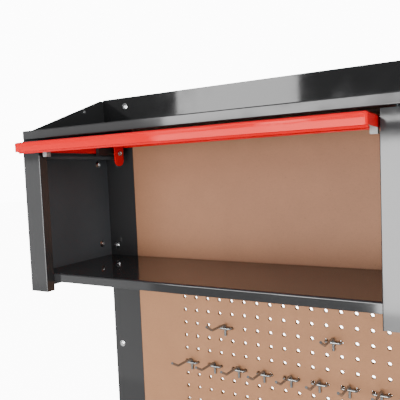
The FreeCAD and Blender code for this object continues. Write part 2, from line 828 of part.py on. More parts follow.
def foot_plate(name, x, y, wide, deep):
    plate = box(name + "_blank", (f"{x} - {wide}/2", f"{x} + {wide}/2"),
                (f"{y} - {deep}/2", f"{y} + {deep}/2"), ("foot_tall", LEG_LOW))
    bore = rod(name + "_bore", (x, y, "foot_tall"), "+z", "stud_wide + 2*pin_play",
               "foot_plate_thick")
    return cut(name, plate, bore)


def all_feet():
    feet = []
    nuts = []
    plates = []
    for index, (x, y) in enumerate(FOOT_PLACES):
        feet.append(foot(f"foot_{index}", x, y))
        nuts.append(foot_nut(f"foot_nut_{index}", x, y))
        wide, deep = (("leg_wide", "leg_wide"), ("upright_wide", "2*rear_foot_in"))[index % 2]
        plates.append(foot_plate(f"foot_plate_{index}", x, y, wide, deep))
    keep("levelling_feet", group("levelling_feet", feet))
    keep("foot_nuts", group("foot_nuts", nuts))
    keep("foot_plates", group("foot_plates", plates))


all_feet()


# A beam joins the front legs under the drawers; rails join each front leg to its upright.
def front_beam():
    deep = "leg_return"
    tall = "beam_tall"
    inner = "beam_tall - frame_sheet"
    points = [
        ("0", "0"), (deep, "0"), (deep, "frame_sheet"), ("frame_sheet", "frame_sheet"),
        ("frame_sheet", inner), (deep, inner), (deep, tall), ("0", tall),
    ]
    place = (f"-{LEG_IN}", LEG_FRONT, f"{BAY_LOW} - beam_tall")
    body = section("front_beam", "YZ_Plane", points, f"2*{LEG_IN}", place)
    keep("front_beam", body)


front_beam()
for side, sign in SIDES:
    between = (f"{LEG_FRONT} + leg_wide", FACE)
    keep(side + "_side_rail", box(side + "_side_rail", sheet_x(sign, "leg_sheet"), between,
                                  (f"{UNDER_TOP} - side_rail_tall", UNDER_TOP)))
    keep(side + "_low_rail", box(side + "_low_rail", sheet_x(sign, "leg_sheet"), between,
                                 ("lower_shelf_top - lower_shelf_lip", "lower_shelf_top")))


# The lower shelf is a pan with its edges folded down all round, and a panel stands behind it.
def lower_shelf():
    side = f"({HALF} - leg_sheet)"
    across = (f"-{side}", side)
    back = f"({FACE} - panel_sheet)"
    y = (BAY_FRONT, back)
    low = "lower_shelf_top - lower_shelf_lip"
    top = "lower_shelf_top"
    keep("lower_shelf", fuse("lower_shelf", [
        box("lower_shelf_sheet", across, y, (f"{top} - panel_sheet", top)),
        box("lower_shelf_front", across, (BAY_FRONT, f"{BAY_FRONT} + panel_sheet"), (low, top)),
        box("lower_shelf_back", across, (f"{back} - panel_sheet", back), (low, top)),
        box("lower_shelf_left", (f"-{side}", f"panel_sheet - {side}"), y, (low, top)),
        box("lower_shelf_right", (f"{side} - panel_sheet", side), y, (low, top)),
    ]))
    keep("lower_back_panel", box("lower_back_panel", across, (back, FACE), (low, BAY_LOW)))


lower_shelf()


# The drawer housing is a box open at the front and top, with a wall between the drawers.
def drawer_housing():
    inner = LEG_IN
    outer = f"({inner} + frame_sheet)"
    y = (BAY_FRONT, FACE)
    z = (BAY_LOW, UNDER_TOP)
    keep("drawer_housing", fuse("drawer_housing", [
        box("housing_floor", (f"-{outer}", outer), y, (BAY_LOW, f"{BAY_LOW} + frame_sheet")),
        box("housing_left", (f"-{outer}", f"-{inner}"), y, z),
        box("housing_right", (inner, outer), y, z),
        box("housing_middle", ("-frame_sheet/2", "frame_sheet/2"), y, z),
        box("housing_back", (f"-{outer}", outer), (f"{FACE} - frame_sheet", FACE), z),
    ]))


drawer_housing()


# Each drawer is a sheet box on two runners, with a folded front panel.
def drawer_walls(sign):
    """The inner faces of a drawer's bay, low to high along X."""
    return (f"-{LEG_IN}", "-frame_sheet/2") if sign else ("frame_sheet/2", LEG_IN)


def drawer_box(side, sign):
    wall_low, wall_high = drawer_walls(sign)
    low_x = f"({wall_low} + runner_space)"
    high_x = f"({wall_high} - runner_space)"
    low_z = f"({BAY_LOW} + frame_sheet + box_low_gap)"
    high_z = f"({UNDER_TOP} - box_high_gap)"
    front = BAY_FRONT
    back = f"({BAY_FRONT} + box_long)"
    x = (low_x, high_x)
    y = (front, back)
    z = (low_z, high_z)
    label = side + "_drawer_box"
    keep(label, fuse(label, [
        box(label + "_floor", x, y, (low_z, f"{low_z} + box_sheet")),
        box(label + "_left", (low_x, f"{low_x} + box_sheet"), y, z),
        box(label + "_right", (f"{high_x} - box_sheet", high_x), y, z),
        box(label + "_front", x, (front, f"{front} + box_sheet"), z),
        box(label + "_back", x, (f"{back} - box_sheet", back), z),
    ]))


def drawer_front(side, sign):
    near = "front_middle_gap/2"
    far = f"({LEG_IN} - front_gap)"
    low_x, high_x = along(sign, near, far)
    x = (low_x, high_x)
    low = f"({BAY_LOW} + front_low_gap)"
    high = f"({UNDER_TOP} - finger_gap)"
    y = (LEG_FRONT, BAY_FRONT)
    label = side + "_drawer_front"
    keep(label, fuse(label, [
        box(label + "_skin", x, (LEG_FRONT, f"{LEG_FRONT} + panel_sheet"), (low, high)),
        box(label + "_floor", x, y, (low, f"{low} + panel_sheet")),
        box(label + "_roof", x, y, (f"{high} - panel_sheet", high)),
        box(label + "_left", (low_x, f"{low_x} + panel_sheet"), y, (low, high)),
        box(label + "_right", (f"{high_x} - panel_sheet", high_x), y, (low, high)),
        box(label + "_grip", x, (f"{BAY_FRONT} - panel_sheet", BAY_FRONT),
            (f"{high} - grip_return", high)),
    ]))


def runner(name, wall, way, part):
    """A runner on a wall, drawn away from it. Its inner part is fixed to the drawer."""
    low = f"({RUNNER_Z} - runner_tall/2)"
    high = f"({RUNNER_Z} + runner_tall/2)"
    wall_side = "0"
    flange = "runner_flange"
    if part == "drawer_runner":
        low = f"({low} + panel_sheet + runner_play)"
        high = f"({high} - panel_sheet - runner_play)"
        wall_side = "(runner_space - panel_sheet)"
        flange = "(panel_sheet + runner_play)"
    web = (wall_side, f"{wall_side} + panel_sheet")
    arms = (wall_side, flange) if part == "housing_runner" else (flange, "runner_space")
    y = (BAY_FRONT, f"{BAY_FRONT} + box_long")

    def across(stretch):
        if way == "+":
            return f"{wall} + {stretch[0]}", f"{wall} + {stretch[1]}"
        return f"{wall} - ({stretch[1]})", f"{wall} - ({stretch[0]})"

    return fuse(name, [
        box(name + "_web", across(web), y, (low, high)),
        box(name + "_low_arm", across(arms), y, (low, f"{low} + panel_sheet")),
        box(name + "_high_arm", across(arms), y, (f"{high} - panel_sheet", high)),
    ])


def drawer(side, sign):
    drawer_box(side, sign)
    drawer_front(side, sign)
    wall_low, wall_high = drawer_walls(sign)
    moving = [
        runner(side + "_drawer_runner_low", wall_low, "+", "drawer_runner"),
        runner(side + "_drawer_runner_high", wall_high, "-", "drawer_runner"),
    ]
    keep(side + "_drawer_runners", group(side + "_drawer_runners", moving))
    return [
        runner(side + "_housing_runner_low", wall_low, "+", "housing_runner"),
        runner(side + "_housing_runner_high", wall_high, "-", "housing_runner"),
    ]


fixed = []
for side, sign in SIDES:
    fixed += drawer(side, sign)
keep("housing_runners", group("housing_runners", fixed))


# Build, test every object, and write one file for each sub-part.
doc.recompute()
for item in doc.Objects:
    if {"Invalid", "Error"} & set(item.State):
        raise RuntimeError(f"{item.Label} failed: {item.State}")
for label, piece in parts.items():
    shape = piece.Shape
    if shape.isNull() or not shape.isValid() or not shape.Solids:
        raise RuntimeError(f"{label} has no valid solid")

os.makedirs("parts", exist_ok=True)
for label, piece in parts.items():
    piece.Shape.exportStep(f"parts/{label}.step")
    box_size = piece.Shape.BoundBox
    print(f"{label}: {len(piece.Shape.Solids)} solids, {piece.Shape.Volume / 1000:.1f} cm3, "
          f"{box_size.XLength:.1f} x {box_size.YLength:.1f} x {box_size.ZLength:.1f} mm")
print(len(parts), "sub-parts")
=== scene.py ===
import bpy
import bmesh
import numpy as np
from mathutils import Euler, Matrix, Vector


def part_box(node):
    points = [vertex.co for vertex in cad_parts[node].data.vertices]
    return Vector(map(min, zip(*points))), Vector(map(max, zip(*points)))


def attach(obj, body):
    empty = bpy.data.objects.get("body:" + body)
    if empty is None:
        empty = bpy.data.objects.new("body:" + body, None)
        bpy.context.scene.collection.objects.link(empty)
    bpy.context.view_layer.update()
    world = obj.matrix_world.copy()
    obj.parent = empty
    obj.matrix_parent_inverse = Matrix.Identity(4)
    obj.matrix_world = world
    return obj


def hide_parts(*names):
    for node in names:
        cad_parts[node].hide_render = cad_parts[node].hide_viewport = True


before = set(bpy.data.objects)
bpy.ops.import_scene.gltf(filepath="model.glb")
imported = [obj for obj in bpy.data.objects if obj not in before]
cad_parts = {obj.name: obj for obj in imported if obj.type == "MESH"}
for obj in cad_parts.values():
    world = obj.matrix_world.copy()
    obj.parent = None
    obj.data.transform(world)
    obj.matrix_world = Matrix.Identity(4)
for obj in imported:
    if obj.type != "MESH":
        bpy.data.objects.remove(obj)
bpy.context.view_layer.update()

# The rear uprights are channels of painted sheet steel, open to the back, which carry the whole
# bench. Their coat is a near-black powder paint, glossy, with a fine orange peel. Plates and
# rails have the same coat. It is duller on the cabinet's inner walls, whose copy of the coat
# also has a lighter base colour as painted light where the lamps barely reach. The gallery
# back's copy has a darker base colour as painted shade.


def effect(name, takes, gives):
    """An empty node group with named sockets, and its ends: (group, inlet, outlet)."""
    group = bpy.data.node_groups.new(name, "ShaderNodeTree")
    for way, sockets in (("INPUT", takes), ("OUTPUT", gives)):
        for title, kind in sockets:
            group.interface.new_socket(title, in_out=way, socket_type="NodeSocket" + kind)
    return group, group.nodes.new("NodeGroupInput"), group.nodes.new("NodeGroupOutput")


def add(tree, kind, values=(), **settings):
    """A node of a kind, with its settings and the starting values of its inlets."""
    node = tree.nodes.new("ShaderNode" + kind)
    for key, value in settings.items():
        setattr(node, key, value)
    for key, value in dict(values).items():
        node.inputs[key].default_value = value
    return node


def join(tree, *pairs):
    """Links from each outlet to each inlet."""
    for outlet, inlet in pairs:
        tree.links.new(outlet, inlet)


def noise(tree, place, scale, detail=2.0, rough=0.5, distortion=0.0):
    """Cloudy noise of a scale in cycles per metre, read at a place."""
    node = add(tree, "TexNoise", {"Scale": scale, "Detail": detail, "Roughness": rough,
                                  "Distortion": distortion})
    join(tree, (place, node.inputs["Vector"]))
    return node.outputs["Fac"]


def spread(tree, value, low, high, to_low, to_high):
    """A value moved from one range to another and held inside it."""
    node = add(tree, "MapRange", {"From Min": low, "From Max": high, "To Min": to_low,
                                  "To Max": to_high})
    join(tree, (value, node.inputs["Value"]))
    return node.outputs["Result"]


def tinted(tree, colour, strength):
    """A colour made lighter or darker by a strength near one."""
    node = add(tree, "VectorMath", operation="SCALE")
    join(tree, (colour, node.inputs[0]), (strength, node.inputs["Scale"]))
    return node.outputs["Vector"]


def powder_coat_effect():
    """Powder paint: dust clouds change its tone, a fine mottle and a few wiped smudges change
    its gloss, and small ripples with grit on them are its orange peel."""
    group, inlet, outlet = effect(
        "powder_coat", [("Colour", "Color"), ("Roughness", "Float"), ("Cloud", "Float")],
        [("Colour", "Color"), ("Roughness", "Float"), ("Height", "Float")])
    place = add(group, "TexCoord").outputs["Object"]
    clouds = noise(group, place, 4.0, 4.0, 0.6)
    wiped = noise(group, place, 6.5, 4.0, 0.55, 0.8)
    fine = noise(group, place, 38.0, 3.0, 0.6)
    depth = add(group, "Math", {2: 0.9}, operation="MULTIPLY_ADD")
    smudge = add(group, "Math", operation="ADD")
    gloss = add(group, "Math", operation="MULTIPLY")
    height = add(group, "Math", {1: 0.25}, operation="MULTIPLY_ADD")
    join(group, (clouds, depth.inputs[0]), (inlet.outputs["Cloud"], depth.inputs[1]),
         (spread(group, wiped, 0.58, 0.74, 0.0, 1.1), smudge.inputs[0]),
         (spread(group, fine, 0.3, 0.75, 0.85, 1.3), smudge.inputs[1]),
         (smudge.outputs[0], gloss.inputs[0]), (inlet.outputs["Roughness"], gloss.inputs[1]),
         (noise(group, place, 1400.0, 1.0), height.inputs[0]),
         (noise(group, place, 260.0, 2.0), height.inputs[2]),
         (tinted(group, inlet.outputs["Colour"], depth.outputs[0]), outlet.inputs["Colour"]),
         (gloss.outputs[0], outlet.inputs["Roughness"]),
         (height.outputs[0], outlet.inputs["Height"]))
    return group


POWDER_COAT = powder_coat_effect()


def finish_of(name, group, takes, sockets, relief=0.0):
    """A material whose shader reads an effect: its colour, roughness and relief in metres."""
    material = bpy.data.materials.new(name)
    material.use_nodes = True
    tree = material.node_tree
    shader = tree.nodes["Principled BSDF"]
    for key, value in sockets.items():
        shader.inputs[key].default_value = value
    look = add(tree, "Group", node_tree=group)
    for key, value in takes.items():
        look.inputs[key].default_value = value
    join(tree, (look.outputs["Colour"], shader.inputs["Base Color"]),
         (look.outputs["Roughness"], shader.inputs["Roughness"]))
    if relief:
        bump = add(tree, "Bump", {"Strength": 1.0, "Distance": relief})
        join(tree, (look.outputs["Height"], bump.inputs["Height"]),
             (bump.outputs["Normal"], shader.inputs["Normal"]))
    return material


BLACK_PAINT = finish_of(
    "black_paint", POWDER_COAT, {"Colour": (0.019, 0.0193, 0.020, 1.0), "Roughness": 0.075,
                                 "Cloud": 0.3}, {"IOR": 1.5}, 0.000003)
# The duller copy for the inner walls and channels is rougher, and its lighter base colour is
# painted light.
SATIN_PAINT_PAINTED_LIGHT = finish_of(
    "black_satin_paint_painted_light", POWDER_COAT, {"Colour": (0.046, 0.051, 0.055, 1.0), "Roughness": 0.5,
                                       "Cloud": 0.3}, {"IOR": 1.2}, 0.000008)


def dress(material, *nodes):
    """CAD nodes take a material in all their slots."""
    for node in nodes:
        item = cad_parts[node]
        if not item.material_slots:
            item.data.materials.append(material)
        for slot in item.material_slots:
            slot.material = material


dress(BLACK_PAINT, "left_upright", "right_upright", "worktop_back_rail", "shelf_back_rail",
      "top_back_rail", "left_gallery_side", "right_gallery_side", "foot_plates",
      "left_side_rail", "right_side_rail", "left_low_rail", "right_low_rail",
      "lower_back_panel", "drawer_housing", "left_drawer_box", "right_drawer_box")
dress(SATIN_PAINT_PAINTED_LIGHT, "left_side_panel", "right_side_panel", "middle_partition")
# The gallery back's darker copy of the coat is painted shade, not a different paint.
dress(finish_of("black_paint_painted_shade", POWDER_COAT, {"Colour": (0.007, 0.0071, 0.0074, 1.0),
                                                  "Roughness": 0.06, "Cloud": 0.4},
                {"IOR": 1.5}, 0.000003),
      "gallery_back")

# The boards are smooth brown hardboard, a quarter inch thick. The pegboard has quarter-inch
# holes. The board behind the cabinet is plain, and its darker, deeper colour is painted shade
# inside the cabinet. Short fibres show as streaks.


def hardboard_effect():
    """Pressed fibre: a mottled ground, short streaks across it and a few dark specks."""
    group, inlet, outlet = effect(
        "pressed_fibre", [("Colour", "Color"), ("Roughness", "Float")],
        [("Colour", "Color"), ("Roughness", "Float"), ("Height", "Float")])
    place = add(group, "TexCoord").outputs["Object"]
    mottle = noise(group, place, 11.0, 5.0, 0.6)
    stretch = add(group, "Mapping")
    stretch.inputs["Scale"].default_value = (260.0, 260.0, 900.0)
    join(group, (place, stretch.inputs["Vector"]))
    fibres = noise(group, stretch.outputs["Vector"], 1.0, 3.0, 0.7, 1.5)
    specks = noise(group, place, 420.0, 2.0, 0.6)
    ground = spread(group, mottle, 0.25, 0.75, 0.94, 1.06)
    streak = spread(group, fibres, 0.35, 0.75, 0.93, 1.1)
    dark = spread(group, specks, 0.26, 0.36, 0.8, 1.0)
    first = tinted(group, inlet.outputs["Colour"], ground)
    join(group, (tinted(group, tinted(group, first, streak), dark), outlet.inputs["Colour"]),
         (inlet.outputs["Roughness"], outlet.inputs["Roughness"]),
         (fibres, outlet.inputs["Height"]))
    return group


FIBRE = hardboard_effect()
# The cabinet back's darker colour is painted shade on the same board as the pegboard.
for board, colour in (("pegboard", (0.286, 0.138, 0.067, 1.0)),
                      ("cabinet_back", (0.244, 0.118, 0.063, 1.0))):
    dress(finish_of(board + "_hardboard", FIBRE, {"Colour": colour, "Roughness": 0.62},
                    {"Specular IOR Level": 0.25}, 0.00004), board)

# The cabinet's posts, shelf and tray are folded from 1.2 mm sheet, with small round bends at
# each fold. They have the black coat of the uprights.
PANEL = 0.0012
BEND = 0.0024


def grid(points):
    """Quads between neighbours of a grid of points: rows by columns by three."""
    rows, columns = points.shape[:2]
    first = (np.arange(rows - 1)[:, None] * columns + np.arange(columns - 1)).reshape(-1, 1)
    return points.reshape(-1, 3), first + np.array([[0, columns, columns + 1, 1]])


def bent_line(corners, bend, steps=6):
    """A line of corners in a plane with each corner rounded: along the arc from one tangent
    point to the other, the turn grows evenly and the distance from the arc's centre stays."""
    corners = np.array(corners, float)
    out = [corners[:1]]
    for before, corner, after in zip(corners, corners[1:], corners[2:]):
        come = (corner - before) / np.linalg.norm(corner - before)
        leave = (after - corner) / np.linalg.norm(after - corner)
        side = np.sign(come[0] * leave[1] - come[1] * leave[0])
        turn = np.arccos(np.clip(come @ leave, -1, 1))
        start = corner - come * bend * np.tan(turn / 2)
        left = np.array([-come[1], come[0]]) * side
        angle = np.linspace(0, turn, steps)[:, None]
        out.append(start + come * bend * np.sin(angle) + left * bend * (1 - np.cos(angle)))
    out.append(corners[-1:])
    return np.vstack(out)


def folded(corners, thick, bend, low, high, axes):
    """A folded strip: its middle line with rounded corners, moved half a thickness to each
    side, and carried from low to high along the third axis. Axes names the middle line's two
    axes and the long one by index. The two sides, the two edges and the two ends are quads."""
    line = bent_line(corners, bend)
    ahead = np.gradient(line, axis=0)
    ahead /= np.linalg.norm(ahead, axis=1)[:, None]
    across = np.stack([-ahead[:, 1], ahead[:, 0]], axis=1) * thick / 2
    ring = np.vstack([line + across, (line - across)[::-1]])
    count = len(ring)
    points = np.zeros((2 * count, 3))
    points[:, axes[0]] = np.tile(ring[:, 0], 2)
    points[:, axes[1]] = np.tile(ring[:, 1], 2)
    points[:, axes[2]] = np.repeat([low, high], count)
    here = np.arange(count)
    after = (here + 1) % count
    sides = np.stack([here, after, after + count, here + count], axis=1)
    half = count // 2
    run = np.arange(half - 1)
    end = np.stack([run, count - 1 - run, count - 2 - run, run + 1], axis=1)
    return points, np.vstack([sides, end, end[:, ::-1] + count])


def together(*shapes):
    """Several shapes as one: all points in a row and the quads counted on."""
    starts = np.cumsum([0] + [len(points) for points, quads in shapes[:-1]])
    return (np.vstack([points for points, quads in shapes]),
            np.vstack([quads + start for (points, quads), start in zip(shapes, starts)]))


def piece(name, body, material, shape, stands_for, thick=0.0, edge=0.0):
    """A finished piece from points and quads. Doubles are merged and faces turned outwards,
    then the sheet may get its thickness inwards and its edges a small round."""
    mesh = bpy.data.meshes.new(name)
    points, quads = shape
    mesh.from_pydata(points.tolist(), [], quads.tolist())
    work = bmesh.new()
    work.from_mesh(mesh)
    bmesh.ops.remove_doubles(work, verts=work.verts, dist=1e-6)
    bmesh.ops.dissolve_degenerate(work, edges=work.edges, dist=1e-6)
    bmesh.ops.recalc_face_normals(work, faces=work.faces)
    work.to_mesh(mesh)
    work.free()
    mesh.materials.append(material)
    mesh.shade_smooth()
    item = bpy.data.objects.new(name, mesh)
    bpy.context.scene.collection.objects.link(item)
    if thick:
        wall = item.modifiers.new("wall", "SOLIDIFY")
        wall.thickness = thick
        wall.offset = -1.0
    if edge:
        soften = item.modifiers.new("edge", "BEVEL")
        soften.width = edge
        soften.segments = 2
        soften.limit_method = "ANGLE"
        soften.angle_limit = 0.7
    flat = item.modifiers.new("flats", "WEIGHTED_NORMAL")
    flat.keep_sharp = True
    flat.weight = 100
    mesh.set_sharp_from_angle(angle=0.6)
    if stands_for:
        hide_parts(*stands_for)
    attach(item, body)
    return item


def bench_piece(name, shape, stands_for, edge=0.0003):
    """A piece of the bench's own body in the black coat."""
    return piece(name, "bench", BLACK_PAINT, shape, stands_for, edge=edge)


POST_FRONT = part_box("middle_front_post")[0][1]
POST_RETURN = 0.015
POST_BEND = 0.0003
NOTCH_DEPTH = 0.0258


def post(name, returns):
    """A post is one sheet. Above the notch it is flat and as wide as the post, and below it a
    bend and a return follow at each side that has one. The two parts share the face's points."""
    (left, _, low), (right, _, high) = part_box(name)
    notch = high - NOTCH_DEPTH
    front, back, bend = POST_FRONT, POST_FRONT + POST_RETURN, POST_BEND
    flat = [(left, front), (left + bend, front), (right - bend, front), (right, front)]
    line = list(flat)
    if "left" in returns:
        line[0:2] = bent_line([(left, back), (left, front), (right, front)], bend)[:-1]
    if "right" in returns:
        line[-2:] = bent_line([(left, front), (right, front), (right, back)], bend)[1:]
    strips = []
    for stations, bottom, top in ((line, low, notch), (flat, notch, high)):
        row = np.array(stations, float)
        ends = np.array([bottom, top])
        points = np.zeros((2, len(row), 3))
        points[..., :2] = row
        points[..., 2] = ends[:, None]
        strips.append(grid(points))
    piece(name + "_folded", "bench", BLACK_PAINT, together(*strips), [name],
          thick=PANEL)


post("left_front_post", ["right"])
post("middle_front_post", ["left", "right"])
post("right_front_post", ["left"])


def channel_along_x(name, corners, stands_for, bend=BEND):
    """A folded strip as long as a node along X."""
    low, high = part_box(stands_for)
    bench_piece(name, folded(corners, PANEL, bend, low[0], high[0], (1, 2, 0)), [stands_for])


HALF_SHEET = PANEL / 2
low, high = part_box("cabinet_shelf")
front, back, top = low[1] + HALF_SHEET, high[1] - HALF_SHEET, high[2] - HALF_SHEET
channel_along_x("cabinet_shelf_folded", [
    (front, low[2]), (front, top), (back, top), (back, low[2])], "cabinet_shelf")
HEM_GAP = 0.0026
HEM_DEPTH = 0.007
TIGHT_BEND = 0.0012
low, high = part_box("top_tray")
front, top, bottom = low[1] + HALF_SHEET, high[2] - HALF_SHEET, low[2] + HALF_SHEET
channel_along_x("top_tray_folded", [
    (front + HEM_GAP, high[2] - HEM_DEPTH), (front + HEM_GAP, top), (front, top),
    (front, bottom), (high[1], bottom)], "top_tray", TIGHT_BEND)

# Each door is a shallow pan of red sheet. Its skin turns down over round edges into a front
# flange and two side flanges, and the front flange has a return with a small grip lip. The
# sizes are measured from the pins: across the door, towards its far edge and out of its skin.
RED_PAINT = finish_of(
    "red_paint", POWDER_COAT, {"Colour": (0.54, 0.0015, 0.005, 1.0), "Roughness": 0.07,
                               "Cloud": 0.16},
    {"IOR": 1.36, "Specular Tint": (1.0, 0.34, 0.28, 1.0)}, 0.000003)
DOOR_BEND = 0.0032
DOOR_HALF = 0.2745
DOOR_GRIP = -0.235
DOOR_HEM = 0.017
DOOR_SKIN = 0.0148
FLANGE_DEPTH = 0.015
HEM_FLANGE = 0.004
FLANGE_STOP = -0.006
GRIP_FOLD = 0.0066
GRIP_END = 0.0093
GRIP_FALL = 0.0024


def pan(low, high, top, bend, stops, steps=7):
    """A pan seen from above: the path round it goes corner by corner, and each point of the
    path has its own flange depth. Across the edge, the point moves out from the corner's
    centre by the bend times the cosine and down by the bend times one less the sine, and then
    straight down to its depth. Stops are (centre x, centre y, turn, depth) rows."""
    path = np.array(stops, float)
    turn = np.radians(path[:, 2])
    rise = np.radians(np.linspace(90, 0, steps))
    out = bend * np.cos(rise)
    drop = bend * (1 - np.sin(rise))
    x = path[:, 0, None] + np.cos(turn)[:, None] * out
    y = path[:, 1, None] + np.sin(turn)[:, None] * out
    z = top - np.tile(drop, (len(path), 1))
    ends = np.stack([x[:, -1], y[:, -1], top - path[:, 3]], axis=1)[:, None]
    rings = np.concatenate([np.stack([x, y, z], axis=2), ends], axis=1)
    rings = np.concatenate([rings, rings[:1]], axis=0)
    skin = np.array([[low[0], low[1], top], [high[0], low[1], top],
                     [high[0], high[1], top], [low[0], high[1], top]])
    return together(grid(rings), (skin, np.array([[0, 1, 2, 3]])))


def corner_stops(x, y, first, depths, steps=7):
    """A pan's corner: its centre, a quarter turn and the depth before and after the corner."""
    turns = np.linspace(first, first + 90, steps)
    middle = first + 45
    return [(x, y, turn, depths[0] if turn < middle else depths[1]) for turn in turns]


def turned(shape, side, centre, pin_y, pin_z):
    """From the door's own axes (across, towards the pivot's far edge, out of the skin) to
    where it stands: lying open on the left, hanging shut on the right."""
    points, quads = shape
    u, v, w = points.T
    if side == "left":
        return np.stack([centre + u, pin_y + v, pin_z + w], axis=1), quads
    return np.stack([centre + u, pin_y - w, pin_z + v], axis=1), quads


def door_shape():
    """The door's pan. Its flanges are deep up to the stops beside the pins and shallow behind."""
    deep, shallow, stop = FLANGE_DEPTH, HEM_FLANGE, FLANGE_STOP
    x, near, far = DOOR_HALF - DOOR_BEND, DOOR_GRIP + DOOR_BEND, DOOR_HEM - DOOR_BEND
    stops = (corner_stops(x, far, 0, (shallow, shallow))
             + corner_stops(-x, far, 90, (shallow, shallow))
             + [(-x, stop, 180, shallow), (-x, stop, 180, deep)]
             + corner_stops(-x, near, 180, (deep, deep))
             + corner_stops(x, near, 270, (deep, deep))
             + [(x, stop, 0, deep), (x, stop, 0, shallow)])
    return pan((-x, near), (x, far), DOOR_SKIN, DOOR_BEND, stops)


def grip_shape():
    """The return behind the front flange, and the lip that leans inwards from it."""
    rim = DOOR_SKIN - FLANGE_DEPTH
    inner = DOOR_HALF - PANEL
    line = [(DOOR_GRIP + PANEL, rim + HALF_SHEET), (DOOR_GRIP + GRIP_FOLD, rim + HALF_SHEET),
            (DOOR_GRIP + GRIP_END, rim - GRIP_FALL)]
    return folded(line, PANEL, TIGHT_BEND, -inner, inner, (1, 2, 0))


PIN_Z = 1.6623
PIN_Y = {"left": 0.235, "right": 0.0678}
DOOR_X = {"left": -0.29575, "right": 0.29575}
for side in ("left", "right"):
    spot = (side, DOOR_X[side], PIN_Y[side], PIN_Z)
    piece(side + "_door_pan", side + "_door", RED_PAINT,
          turned(door_shape(), *spot), [side + "_door"], thick=PANEL)
    piece(side + "_door_grip", side + "_door", RED_PAINT,
          turned(grip_shape(), *spot), [], edge=0.0002)
dress(RED_PAINT, "left_door_ears", "right_door_ears")

# The doors' carriages run in channels of sheet steel with a small lip at their open side. The
# channels have the duller coat of the cabinet's inner walls, with its lighter base colour as
# painted light.
RAIL_NEAR = 0.2839
RAIL_FAR = 0.2939
RAIL_LIP = 0.006
RAIL_BEND = 0.002
rails = []
low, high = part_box("door_rails")
bottom, top = low[2] + HALF_SHEET, high[2] - HALF_SHEET
for centre in DOOR_X.values():
    for way in (-1, 1):
        near = centre + way * (RAIL_NEAR + HALF_SHEET)
        far = centre + way * (RAIL_FAR - HALF_SHEET)
        line = [(near, low[2] + RAIL_LIP), (near, bottom), (far, bottom), (far, top),
                (near, top), (near, high[2] - RAIL_LIP)]
        rails.append(folded(line, PANEL, RAIL_BEND, low[1], high[1], (0, 2, 1)))
piece("door_channels", "bench", SATIN_PAINT_PAINTED_LIGHT, together(*rails), ["door_rails"])

# The doors' small parts are black plastic corner blocks and shoes, white nylon pads and brass
# nuts. The runners and the other nuts are zinc plated, and the hooks are bent from dull chromed
# wire. All of these keep their shapes from the frame.


def plain_effect():
    """Moulded or plated surface: slow changes of tone and gloss, with a fine grain."""
    group, inlet, outlet = effect(
        "even_skin", [("Colour", "Color"), ("Roughness", "Float"), ("Grain", "Float")],
        [("Colour", "Color"), ("Roughness", "Float"), ("Height", "Float")])
    place = add(group, "TexCoord").outputs["Object"]
    clouds = noise(group, place, 60.0, 4.0, 0.6)
    tone = spread(group, clouds, 0.25, 0.75, 0.86, 1.12)
    gloss = add(group, "Math", operation="MULTIPLY")
    join(group, (inlet.outputs["Roughness"], gloss.inputs[0]),
         (spread(group, noise(group, place, 210.0, 3.0), 0.3, 0.7, 0.75, 1.3), gloss.inputs[1]))
    height = add(group, "Math", operation="MULTIPLY")
    join(group, (noise(group, place, 2600.0, 2.0), height.inputs[0]),
         (inlet.outputs["Grain"], height.inputs[1]),
         (tinted(group, inlet.outputs["Colour"], tone), outlet.inputs["Colour"]),
         (gloss.outputs[0], outlet.inputs["Roughness"]),
         (height.outputs[0], outlet.inputs["Height"]))
    return group


EVEN_SKIN = plain_effect()
BLACK_PLASTIC = finish_of(
    "black_plastic", EVEN_SKIN, {"Colour": (0.012, 0.012, 0.013, 1.0), "Roughness": 0.42,
                                 "Grain": 1.0}, {"Specular IOR Level": 0.4}, 0.00001)
WHITE_NYLON = finish_of(
    "white_nylon", EVEN_SKIN, {"Colour": (0.21, 0.21, 0.205, 1.0), "Roughness": 0.3,
                               "Grain": 0.5}, {"Subsurface Weight": 0.1,
                                               "Subsurface Scale": 0.002}, 0.00001)
ZINC = finish_of(
    "zinc_plate", EVEN_SKIN, {"Colour": (0.62, 0.63, 0.64, 1.0), "Roughness": 0.24,
                              "Grain": 0.6}, {"Metallic": 1.0}, 0.000006)
BRASS = finish_of(
    "brass", EVEN_SKIN, {"Colour": (0.72, 0.50, 0.20, 1.0), "Roughness": 0.26, "Grain": 0.5},
    {"Metallic": 1.0}, 0.000006)
CHROME = finish_of(
    "chrome_wire", EVEN_SKIN, {"Colour": (0.24, 0.25, 0.25, 1.0), "Roughness": 0.18,
                               "Grain": 0.4}, {"Metallic": 0.72}, 0.000006)
for side in ("left", "right"):
    dress(BLACK_PLASTIC, side + "_door_corner_blocks", side + "_door_shoes")
    dress(WHITE_NYLON, side + "_door_pads")
    dress(BRASS, side + "_door_pivot_nuts")
    dress(ZINC, side + "_drawer_runners")
dress(ZINC, "housing_runners", "screw_nuts", "foot_nuts")
dress(CHROME, "upper_hooks", "lower_hooks")

# Zinc screws and pivot bolts have domed heads with a cross recess, and the screws a flange. The
# levelling feet are turned steel with a rounded foot and a threaded stud.
WAYS = {"+x": (1, 2, 0, 1), "-x": (2, 1, 0, -1), "-y": (0, 2, 1, -1), "+z": (0, 1, 2, 1)}


